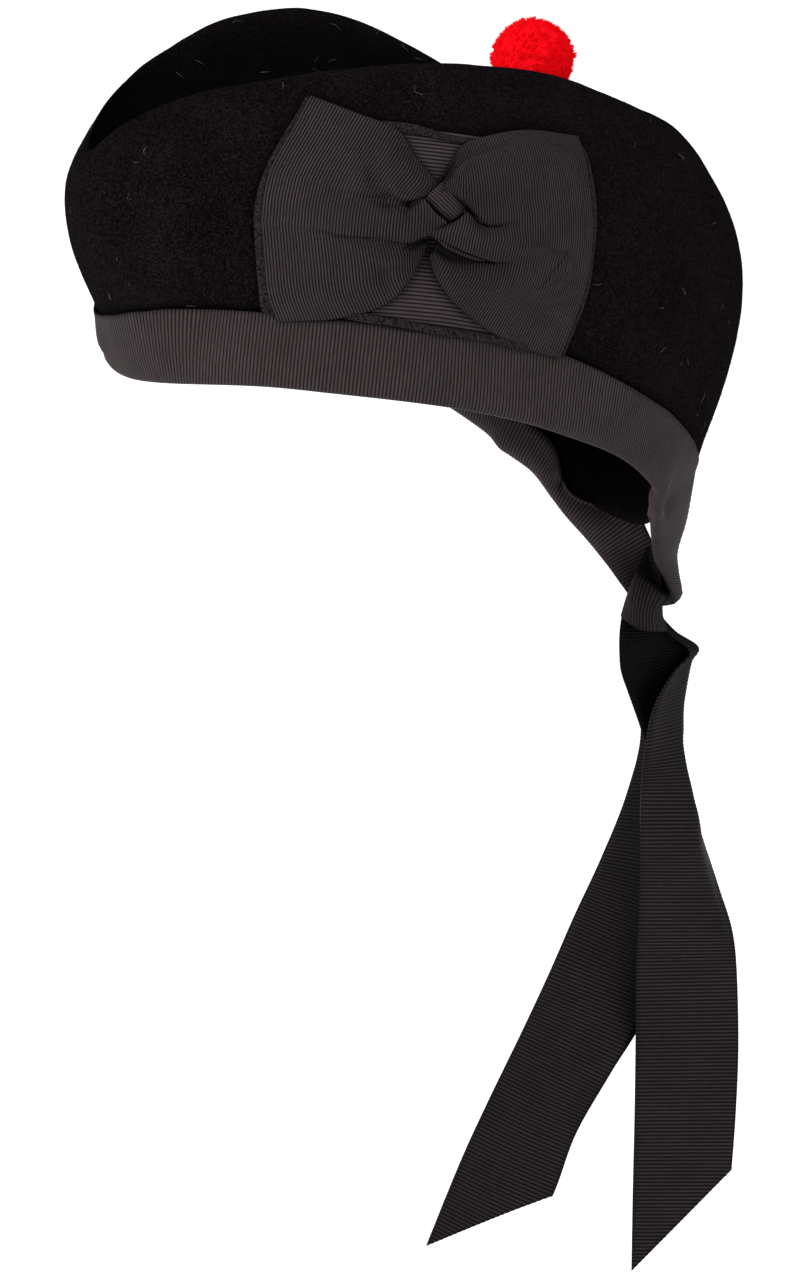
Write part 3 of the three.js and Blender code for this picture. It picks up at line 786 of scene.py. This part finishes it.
patch_grid = sewn_grid(patch_rows, 240, 25)
patch = ribbon("cockade_patch_ribbon", patch_grid[:, ::-1], run_length(patch_grid)[:, ::-1],
               run_across(patch_grid)[:, ::-1], patch_pitch, 0.16 * MM, patch_grosgrain)
thicken(patch, 0.6 * MM)
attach(patch, "root")
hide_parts("cockade_patch")
patch_edges = selvedge(
    "patch_top_edge", [(-44, 118.4), (-33, 117.0), (-24, 114.6), (-14, 112.6)],
    [(-44, 121.2), (-33, 119.9), (-22.5, 116.4), (-13, 114.0)], 1.3)
patch_edges += selvedge(
    "patch_low_edge", [(-57, 64.2), (-45, 61.4), (-29.7, 57.8), (-14.2, 54.2), (-1.5, 49.8)],
    [(-57, 61.8), (-45, 58.9), (-29.7, 55.1), (-14.2, 51.7), (-1.5, 47.3)], 2.6, 0.5)
# The layer of each wing that lies on the felt shows as a narrow edge past the upper one.
front_under = selvedge(
    "front_wing_under_edge",
    [(-58, 125.6), (-63, 120.8), (-68, 115.8), (-72.5, 110.6), (-76, 105.6), (-78.8, 99.8), (-80, 93.4),
     (-79.8, 84.2), (-78.6, 72.8), (-76.8, 64.8), (-74, 62)],
    [(-60.4, 128.8), (-65.5, 123.5), (-70.6, 118.4), (-75.3, 113.2), (-79.1, 108.1), (-82.2, 102),
     (-83.8, 94.9), (-83.7, 84.6), (-82.5, 72.6), (-80.6, 63), (-75.6, 58.8)], 0.9)
rear_under = selvedge(
    "rear_wing_under_edge",
    [(23, 111.2), (24, 104), (23.4, 94.4), (22.6, 85), (20.6, 75), (17.8, 64.8), (13.8, 54), (9.4, 45.5)],
    [(26.6, 111.2), (28.6, 104.8), (28.4, 94.8), (27.3, 85.4), (24.9, 74.9), (22.4, 64), (18.2, 53.1),
     (13.6, 42.6)], 0.9)

# Each row is one line of the wing from the gather to its outer edge: along, high and lift in mm at
# the gather, the knuckle of the fold, its crest, the middle of the wing and the stitched edge.
front_wing_rows = [
    [(-30, 102, 2.4), (-35, 110, 2.4), (-38, 118, 2.2), (-48, 123, 1.8), (-59.5, 128.4, 1.6)],
    [(-32, 100, 3.2), (-38, 106, 4.2), (-44, 112, 4.2), (-54, 117, 2.6), (-65.6, 122, 1.6)],
    [(-34, 99, 3.6), (-39, 101, 4.8), (-47, 105, 5.0), (-60, 109, 3.2), (-73.6, 113.4, 1.6)],
    [(-35, 98.6, 3.6), (-38.5, 98, 4.2), (-44, 99, 5.0), (-61, 103, 3.6), (-77.7, 108.2, 1.6)],
    [(-35, 98.4, 1.6), (-38.5, 97.4, 1.6), (-42.5, 97, 3.2), (-60, 100, 3.6), (-79.4, 104.8, 1.6)],
    [(-35.5, 97.5, 4.6), (-39, 96.4, 4.4), (-43.5, 95, 4.6), (-60, 97, 3.6), (-80.8, 101, 1.6)],
    [(-32.5, 93, 5.0), (-38, 92, 5.4), (-47, 91.5, 5.0), (-62, 94, 3.6), (-81.3, 98.8, 1.6)],
    [(-30, 90.5, 4.8), (-37, 89.5, 5.4), (-47, 88.5, 4.8), (-62, 91, 3.2), (-81.7, 96.2, 1.6)],
    [(-35, 87.5, 4.2), (-39, 86.5, 4.6), (-43.5, 86, 4.0), (-61, 88.5, 2.9), (-82, 94, 1.6)],
    [(-35, 86.5, 2.0), (-38, 85.5, 2.0), (-43, 84.5, 2.6), (-60.5, 87, 2.4), (-82.1, 92, 1.6)],
    [(-36, 84.5, 2.8), (-40.5, 82.5, 3.8), (-47, 79.5, 4.4), (-61, 78.5, 3.4), (-81.2, 79, 1.6)],
    [(-36.5, 83, 2.8), (-40.5, 79.5, 3.6), (-47.5, 75, 4.2), (-60.5, 71, 3.2), (-79.8, 69.5, 1.6)],
    [(-36.5, 81.5, 2.4), (-40.5, 75, 2.8), (-47.5, 66.5, 2.8), (-60, 62, 2.6), (-76.6, 60.6, 2.4)],
]
rear_wing_rows = [
    [(-30.5, 101.8, 2.2), (-24, 108, 2.2), (-16, 113.5, 2.0), (5.5, 115, 1.8), (26, 111.2, 1.6)],
    [(-31, 100.2, 1.8), (-26.5, 103.8, 1.9), (-18.5, 109, 2.2), (3.5, 111.5, 2.2), (26.3, 107.6, 1.6)],
    [(-31, 99.6, 4.2), (-26, 103, 4.6), (-18, 108, 4.2), (3.5, 110.5, 2.8), (26.3, 106.6, 1.6)],
    [(-29.5, 99.5, 4.4), (-23.5, 102, 5.0), (-15.5, 105, 4.8), (3, 105, 3.2), (26, 101, 1.6)],
    [(-28, 99, 4.4), (-23, 98, 5.2), (-14, 98, 5.0), (3, 98, 3.4), (25.5, 95, 1.6)],
    [(-27, 98.5, 4.2), (-22.5, 95, 4.6), (-16.5, 90, 4.4), (1.5, 91, 3.6), (25, 88.4, 1.6)],
    [(-26.5, 98.2, 1.8), (-22, 94.4, 1.8), (-16.5, 89, 3.0), (1, 88, 3.6), (24.7, 85.4, 1.6)],
    [(-24, 93, 4.6), (-22, 93, 4.4), (-17.5, 88.5, 4.0), (0.5, 85, 3.8), (24.3, 82, 1.6)],
    [(-30, 90, 5.2), (-24.5, 90.5, 5.6), (-17, 85.5, 4.8), (0, 82, 3.6), (23.9, 79.4, 1.6)],
    [(-36, 88, 5.0), (-30, 87, 5.8), (-20.5, 83.5, 5.2), (-1.5, 79.5, 3.4), (23.2, 76, 1.6)],
    [(-33.5, 86.5, 4.8), (-29.5, 83, 5.2), (-16, 78.5, 4.4), (-2.5, 77.4, 3.4), (22.6, 73.8, 1.6)],
    [(-32, 86, 2.4), (-27.5, 83.5, 2.2), (-16, 79, 2.6), (-3, 75, 3.2), (22.2, 71.4, 1.6)],
    [(-33, 83.5, 2.2), (-28.5, 80.5, 2.0), (-17, 76.5, 3.2), (-4, 72, 3.1), (21.4, 68.8, 1.6)],
    [(-34.5, 82, 3.2), (-29, 77.5, 4.4), (-20, 72, 4.4), (-5, 66, 3.0), (19.2, 62, 1.6)],
    [(-35, 80.5, 2.6), (-32.5, 73.5, 3.0), (-24, 63, 2.8), (-7.5, 51, 2.6), (11.4, 43.4, 2.4)],
]
# Creases pressed into the cloth of each wing: their line of (along, high), their depth, and how far
# they spread to the left and to the right of their run, in mm. A depth under 0 is a raised fold.
front_wing_creases = [
    ([(-73, 92.5), (-67.9, 90.4), (-62.4, 88.5), (-52.2, 87.5), (-42.9, 85.3)], 0.4, 0.35, 0.9),
    ([(-44.5, 95.4), (-41.6, 96.8), (-38.6, 98.2), (-35.2, 98.7)], 0.5, 0.9, 0.3),
    ([(-57, 99), (-56, 104), (-54, 109), (-50, 115)], -0.9, 3.0, 3.0),
    ([(-47, 98), (-43, 95.5), (-40, 93.5)], 0.6, 1.0, 1.6),
    ([(-52.5, 80), (-51, 75.5), (-48.5, 71.5), (-45.5, 70.5)], 1.5, 2.0, 3.0),
    ([(-52.5, 112), (-51, 106.5), (-48.5, 101), (-44, 98.5)], 2.1, 2.4, 4.0),
    ([(-46, 83.4), (-42.2, 84.8), (-38.8, 86.6), (-34.5, 88.2)], 0.6, 0.3, 0.9),
    ([(-60, 82), (-56, 75), (-55, 68)], -0.6, 3.5, 3.5),
]
rear_wing_creases = [
    ([(-28.8, 99.8), (-27.4, 98.5), (-24.6, 95.9), (-20.7, 92.7), (-15.4, 88.0)], 0.7, 0.95, 0.3),
    ([(-37, 89), (-35.3, 87.9), (-30.5, 84.9), (-25.5, 82), (-20.4, 79.8), (-13.6, 77.2)], 0.9, 0.3, 1.0),
    ([(-16, 108), (2, 107.1), (21.5, 104.7)], 0.35, 0.3, 0.6),
    ([(16.6, 81), (15.8, 80.3), (9, 74.8), (5.5, 70.3), (-1.5, 65.8)], 0.45, 0.3, 0.9),
    ([(-22, 86), (-8.8, 85.3), (4, 80.5)], -0.9, 1.6, 2.0),
    ([(-14, 100), (-4, 97), (6, 94)], 0.8, 4.0, 3.0),
    ([(-10, 70), (0, 62), (8, 54)], 0.8, 3.5, 2.5),
    ([(-34, 82), (-31.6, 75.2), (-27.5, 67)], -0.6, 1.6, 1.6),
    ([(-13, 81.7), (1.7, 81.2), (12.8, 74.8), (13.7, 66)], -0.9, 1.2, 2.4),
]


def wing(name, rows, node, creases, forward):
    """One wing of the bow. Its ribs lie at even distances from its outer edge."""
    grid = sewn_grid(rows, 150, 205)
    from_gather = run_across(grid)
    from_edge = from_gather[:, -1:] - from_gather
    up_edge = np.broadcast_to(run_length(grid[:, -1:])[:, :1], grid.shape[:2])
    for pressed in creases:
        grid = crease(grid, *pressed)
    step = -1 if forward else 1
    piece = ribbon(name, grid[::step], from_edge[::step], up_edge[::step], wing_pitch, wing_rib,
                   wing_grosgrain)
    thicken(piece, wing_thick)
    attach(piece, "root")
    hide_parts(node)
    outward = unit(grid[:, -1] - grid[:, -12])
    way = unit(np.cross(outward, np.gradient(grid[:, -1], axis=0)))
    way *= np.sign(way[:, :1])
    sewing = stitches(name + "_stitches", grid[4:-4, -8], -outward[4:-4], way[4:-4], 1.1 * MM, 2.8 * MM,
                      0.3 * MM, 0.09 * MM)


wing("cockade_front_wing_ribbon", front_wing_rows, "cockade_front_wing", front_wing_creases,
     forward=True)
wing("cockade_rear_wing_ribbon", rear_wing_rows, "cockade_rear_wing", rear_wing_creases,
     forward=False)

# The square where the rear wing's ribbon turns under: rows across it from its turned edge.
square_rows = [
    [(-35.5, 97.8, 2.4), (-32, 94, 2.8), (-28.5, 90.3, 2.4)],
    [(-34.6, 98.6, 3.8), (-31, 94.8, 4.2), (-27.5, 91.2, 3.6)],
    [(-33, 100, 4.0), (-29, 96, 4.6), (-25.5, 92.2, 3.8)],
    [(-30.5, 101.6, 3.8), (-26.8, 97.8, 4.4), (-22.5, 93.6, 3.0)],
    [(-28.5, 102.5, 2.8), (-24.5, 99, 3.4), (-21, 95, 1.8)],
]
square_grid = sewn_grid(square_rows, 60, 24)
square = ribbon("cockade_square_ribbon", square_grid, run_length(square_grid), run_across(square_grid),
                wing_pitch, wing_rib, wing_grosgrain)
thicken(square, wing_thick)
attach(square, "root")
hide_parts("cockade_twist")


# ---------------------------------------------------------------- toorie
# A pompom of bright red wool: yarn tied at the middle, its cut ends clipped to a ball. It sits in
# the valley of the felt, towards the back.
toorie_low, toorie_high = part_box("toorie")
toorie_middle = np.array((toorie_low + toorie_high) / 2)
toorie_radius = (toorie_high.x - toorie_low.x) / 2
red_wool_painted_glow, _, wool_shader, _ = speckled_finish(
    "red_wool_painted_glow", 0.95, 0.0, 260, 3, [(0.3, (0.66, 0.003, 0.006)), (0.7, (0.86, 0.006, 0.016))])
# The wool glows faintly red: painted light that stands in for light scattered inside the yarn.
wool_shader.inputs["Emission Color"].default_value = (0.9, 0.0005, 0.004, 1)
wool_shader.inputs["Emission Strength"].default_value = 0.17
bpy.ops.object.select_all(action="DESELECT")
bpy.ops.mesh.primitive_ico_sphere_add(subdivisions=5, radius=toorie_radius - 1.1 * MM,
                                      location=toorie_middle)
core = bpy.context.object
core.name = "toorie_core"
bpy.ops.object.transform_apply(location=True, rotation=True, scale=True)
lumps = bpy.data.textures.new("yarn_lumps", "CLOUDS")
lumps.noise_scale = 3 * MM
lump = core.modifiers.new("lumps", "DISPLACE")
lump.texture = lumps
lump.texture_coords = "LOCAL"
lump.strength = 1.6 * MM
bpy.ops.object.modifier_apply(modifier="lumps")
bpy.ops.object.shade_smooth()
core.data.materials.append(red_wool_painted_glow)
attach(core, "root")
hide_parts("toorie")

# The yarn's ends stand in tufts, spread evenly over the ball in a spiral from its top to its foot.
tuft_count = 620
per_tuft = 14
tuft = np.arange(tuft_count) + 0.5
tuft_turn = math.pi * (3 - math.sqrt(5)) * tuft
tuft_high = 1 - 2 * tuft / tuft_count
tuft_out = np.sqrt(1 - tuft_high ** 2)
tuft_way = np.stack([tuft_out * np.cos(tuft_turn), tuft_out * np.sin(tuft_turn), tuft_high], 1)
tuft_way = unit(tuft_way + chance.normal(0, 0.03, tuft_way.shape))
yarn_way = np.repeat(tuft_way, per_tuft, 0)
yarn_count = len(yarn_way)
yarn_root = toorie_middle + yarn_way * (toorie_radius - 2.6 * MM)
yarn_root += chance.normal(0, 0.3 * MM, (yarn_count, 3))
yarn_tip_way = unit(yarn_way + chance.normal(0, 0.045, (yarn_count, 3)))
yarn_reach = np.repeat(toorie_radius * (1 + chance.normal(-0.005, 0.028, (tuft_count, 1))), per_tuft, 0)
yarn_reach = yarn_reach + chance.normal(-0.1 * MM, 0.22 * MM, (yarn_count, 1))
yarn_tip = toorie_middle + yarn_tip_way * yarn_reach
yarn_middle = (yarn_root + yarn_tip) / 2 + chance.normal(0, 0.12 * MM, (yarn_count, 3))
tufts = strands("toorie_tufts", np.stack([yarn_root, yarn_middle, yarn_tip], 1),
                np.array([0.2, 0.24, 0.05]) * MM, red_wool_painted_glow)
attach(tufts, "root")


# ---------------------------------------------------------------- knot
# The left tie is wound once round the right one. What shows is the turn of ribbon round the outside,
# and inside it the rolled ribbon of both ties.
def free_ribbon(name, rows, pitch, finish, painted_shade_rows, columns=15):
    """A ribbon that hangs through rows of places across it, in mm. Returns it and its length. The
    last rows say, from its start to its end, what share of its colour it loses across it as painted shade."""
    rows = np.array(rows, float) * MM
    count = int(evenly(rows, 2)[1] / pitch * 6)
    rows, long = evenly(rows, count)
    grid = through_across(rows, columns)
    far = np.broadcast_to(np.linspace(0, long, count)[:, None], grid.shape[:2])
    painted_shade = through_across(through(painted_shade_rows, np.linspace(0, len(painted_shade_rows) - 1, count)), columns)
    piece = ribbon(name, grid, far, run_across(grid), pitch, rib_height, finish, np.clip(painted_shade, 0, 0.97))
    return piece, long


# Each row goes from the turn's upper edge over its crest to its lower edge, and the rows go once
# round.
wrap_rows = [
    [(7, 106.6, -60), (8, 106.9, -64.1), (11, 96.7, -64.4), (10, 100.2, -75.2)],
    [(10.5, 101.9, -60.8), (12, 101.4, -65.2), (13.5, 93.4, -65.2), (12.5, 96.3, -74.5)],
    [(12, 97.1, -60.1), (13.5, 95.3, -62.4), (14.5, 91.5, -66.4), (13.5, 92.6, -73.8)],
    [(11, 93.5, -56), (12.5, 90.8, -57.2), (14, 87.3, -64.7), (13, 87.7, -72.6)],
    [(6, 92.8, -53), (8, 89, -54.5), (10, 85.3, -61.9), (10, 84.5, -70.4)],
    [(-2, 99.4, -49.2), (-1, 95.3, -55.5), (0, 90.9, -63), (1, 87.5, -70)],
    [(-7, 104.7, -49.2), (-7, 103.6, -57.6), (-6, 102.1, -65.8), (-5, 100.1, -73)],
    [(-5, 106.2, -50.7), (-5, 106, -58.3), (-4, 104.5, -66.5), (-3, 103.1, -73.3)],
    [(0, 107.1, -58.2), (1, 106, -62.1), (2, 103.2, -66.2), (3, 102.1, -74)],
    [(5, 107.1, -60.2), (6, 107.1, -64.6), (8, 98.2, -65.7), (8, 100.3, -74.8)],
    [(7, 104.8, -61.1), (8, 104.5, -64), (10, 96.3, -65), (9.4, 98.4, -73.9)],
]
# The knot's ribbon is the band's at a little over half its tone, with deeper shade near other cloth: painted
# shade.
knot_grosgrain_painted_shade = grosgrain_finish("knot_grosgrain_painted_shade", rib_pitch, 0.44, 0.15, 22 * MM, 3.0)
# Painted shade across the turn, row by row: its upper edge, and all of it round the back, lose most of their
# colour.
wrap_painted_shade = [[0.7, 0, 0, 0], [0.8, 0, 0, 0], [0.9, 0, 0, 0], [0.95, 0, 0, 0], [0.9, 0, 0, 0],
             [0.8, 0.1, 0, 0], [0.9] * 4, [0.95] * 4, [0.95] * 4, [0.9, 0.8, 0.8, 0.8], [0.9, 0.8, 0.8, 0.8]]
wrap, wrap_long = free_ribbon("tie_wrap_ribbon", wrap_rows, rib_pitch, knot_grosgrain_painted_shade, wrap_painted_shade)
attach(wrap, "root")
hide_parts("tie_knot")
thicken(wrap, ribbon_thick)

# The rolled ribbon inside the turn: an oval spiral that winds inwards, in painted shade throughout.
roll_rows = []
for angle in np.linspace(0, 4 * math.pi, 33):
    size = 1 - angle / (4.6 * math.pi)
    off_long, off_short = 7.0 * size * math.cos(angle), 3.6 * size * math.sin(angle)
    side = 3.6 - 0.62 * off_long + 0.78 * off_short
    back = 95.4 + 0.78 * off_long + 0.62 * off_short
    roll_rows.append([(side, back, -60), (side, back, -66), (side, back, -73)])
roll, roll_long = free_ribbon("tie_roll_ribbon", roll_rows, rib_pitch, knot_grosgrain_painted_shade, [[0.85] * 3] * 4)
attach(roll, "root")
thicken(roll, 0.6 * MM)


# ---------------------------------------------------------------- tails
# Both free ends of the ribbon hang from the knot, about 230 mm long. They are cut on a slant, and
# the cut is sealed. The right one cups round the knot at its top and hangs in front of the left one.
# Their rows go from the knot down, each across the ribbon.
tail_pitch = 1.35 * MM
# The tails are the band's ribbon at a little over half its tone, with deeper shade near other cloth: painted
# shade.
tail_grosgrain_painted_shade = grosgrain_finish("tail_grosgrain_painted_shade", tail_pitch, 0.44, 0.14, 34 * MM, 2.0)
right_tail_rows = [
    [(6, 97.6, -70.6), (4, 100.3, -71), (3, 86.6, -67)],
    [(9, 101.2, -76.1), (7, 104.5, -77), (6, 83.5, -75.1)],
    [(9.5, 109.8, -84.2), (6.4, 113.3, -83.7), (7, 83.1, -84.4)],
    [(13, 101.3, -89.4), (6, 112, -88.4), (6.6, 84.2, -89.4)],
    [(14, 94.9, -96.8), (6, 110.7, -96.5), (5.6, 87.4, -96.5)],
    [(14, 91.5, -104.2), (6, 109.8, -105), (5.1, 91, -105)],
    [(13, 90.8, -111.1), (6.4, 109.5, -112), (4.4, 94, -112)],
    [(12, 90.2, -118), (7.4, 109, -119), (3.8, 96.8, -118)],
    [(10, 90.4, -130.7), (9.5, 110.9, -133.8), (0.5, 110, -136)],
    [(8.5, 91.1, -141.6), (12.5, 110.8, -143.4), (2.5, 117.2, -146.9)],
    [(7, 92.1, -153.4), (15, 109.7, -153.9), (4, 121.1, -158.5)],
    [(4, 93.9, -169.6), (13.5, 113.9, -170.2), (8.5, 124.2, -173.1)],
    [(2, 94.7, -183.9), (15, 116.1, -183.6), (14, 125.7, -185.4)],
    [(0.5, 95, -200), (12.5, 119.8, -200), (16, 126.8, -200)],
    [(0, 95.4, -228), (13, 120.6, -228), (16.6, 127.6, -228)],
    [(-0.5, 95.6, -254), (12.6, 120, -254), (16.4, 127, -254)],
    [(-1, 95.5, -284), (12, 118.6, -284), (16, 125.4, -284)],
    [(-1.2, 95.4, -318), (11.8, 118, -318), (16, 125, -318)],
]
left_tail_rows = [
    [(-3, 93.7, -73.4), (-5, 99.7, -74.2), (-3, 105, -74)],
    [(-6, 95.5, -93.7), (-7, 103.6, -94.5), (-3, 108.3, -94)],
    [(-11, 103.1, -117.2), (-6, 107, -116.3), (-2, 110, -115.9)],
    [(-14, 99.2, -140), (-7, 106, -140), (0, 108.6, -140)],
    [(-17, 91.2, -162), (-9, 102, -164), (-1, 109, -166)],
    [(-18, 81, -182), (-10, 95.1, -189.4), (-2, 107.2, -194.9)],
    [(-17, 69.8, -202), (-9.5, 85.8, -209.6), (-3, 101.7, -217.2)],
    [(-14.8, 57.4, -221), (-8.2, 71.7, -229.1), (-2.7, 86.4, -237.6)],
    [(-10, 42.6, -239.6), (-4.5, 56, -247.8), (1, 70.5, -255.5)],
    [(-4, 27.7, -257.8), (0, 42.6, -266.6), (4.6, 58.9, -275.4)],
    [(2.4, 11.4, -281.2), (5.5, 25.5, -290.5), (8.4, 40.8, -300)],
    [(4.6, 4.2, -293.2), (7.5, 18.5, -302.5), (10.2, 33.8, -312)],
]


def cut_slanting(piece, start, end):
    """Cuts a tail along the line from start to end, in mm, and drops what lies below it."""
    start, end = Vector(start) * MM, Vector(end) * MM
    line = (end - start).normalized()
    below = Vector((0, 0, -1))
    take_up(piece)
    bpy.ops.object.mode_set(mode="EDIT")
    bpy.ops.mesh.select_all(action="SELECT")
    bpy.ops.mesh.bisect(plane_co=start, plane_no=below - line * below.dot(line), clear_outer=True)
    bpy.ops.object.mode_set(mode="OBJECT")


# Painted shade at the tops of the tails, most inside the right tail's cup, fading out lower down.
right_tail_painted_shade = [[0.6, 0.9, 0.97], [0.4, 0.93, 0.97], [0.1, 0.8, 0.95], [0, 0.6, 0.93], [0, 0.35, 0.93],
                   [0, 0.15, 0.9], [0, 0, 0.85], [0, 0, 0.6]] + [[0, 0, 0]] * 11
left_tail_painted_shade = [[0.6, 0.6, 0.6], [0.3, 0.6, 0.6], [0, 0, 0.3]] + [[0, 0, 0]] * 9
for name, node, rows, painted_shade_rows, cut in (
        ("tail_right_ribbon", "tail_right", right_tail_rows, right_tail_painted_shade,
         [(-1.2, 96.6, -310.7), (16, 124.9, -274.7)]),
        ("tail_left_ribbon", "tail_left", left_tail_rows, left_tail_painted_shade,
         [(4, 8, -285), (6, 58.4, -275.3)])):
    tail = free_ribbon(name, rows, tail_pitch, tail_grosgrain_painted_shade, painted_shade_rows)[0]
    cut_slanting(tail, *cut)
    thicken(tail, ribbon_thick)
    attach(tail, "root")
    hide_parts(node)
